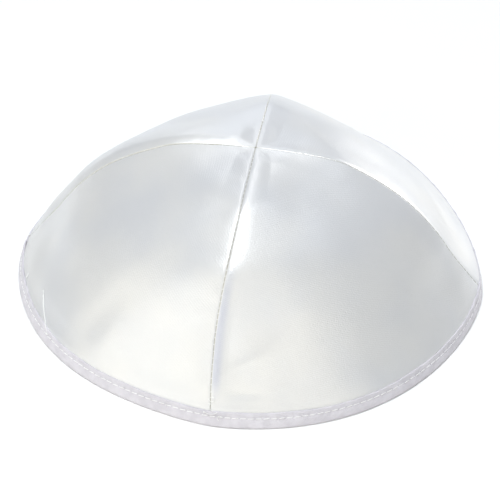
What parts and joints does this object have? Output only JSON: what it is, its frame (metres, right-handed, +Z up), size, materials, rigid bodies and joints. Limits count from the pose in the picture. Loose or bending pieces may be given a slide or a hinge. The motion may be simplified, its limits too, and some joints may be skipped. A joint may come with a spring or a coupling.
{
  "type": "kippah skullcap",
  "caption": "Domed satin skullcap sewn from triangular panels that meet at the crown, its round rim bound with a folded satin tape; open below for the head.",
  "frame": {"origin": "middle of the cap's plan, on the surface that its rim rests on", "axes": "+Z up to the crown; the four seams run towards +X (right), +Y (back), -X (left) and -Y (front)"},
  "size_m": [0.176, 0.1764, 0.06],
  "materials": {
    "white_satin": "white polyester satin, smooth and shiny, with a fine twill line, sewn seams and soft puckers",
    "binding_tape": "pale lavender-white satin bias tape, duller than the panels, folded over the edge and lockstitched near its upper edge"
  },
  "bodies": {
    "root": {"panel_back_right": "white_satin", "panel_back_left": "white_satin", "panel_front_left": "white_satin", "panel_front_right": "white_satin", "rim_binding": "binding_tape"}
  },
  "joints": []
}
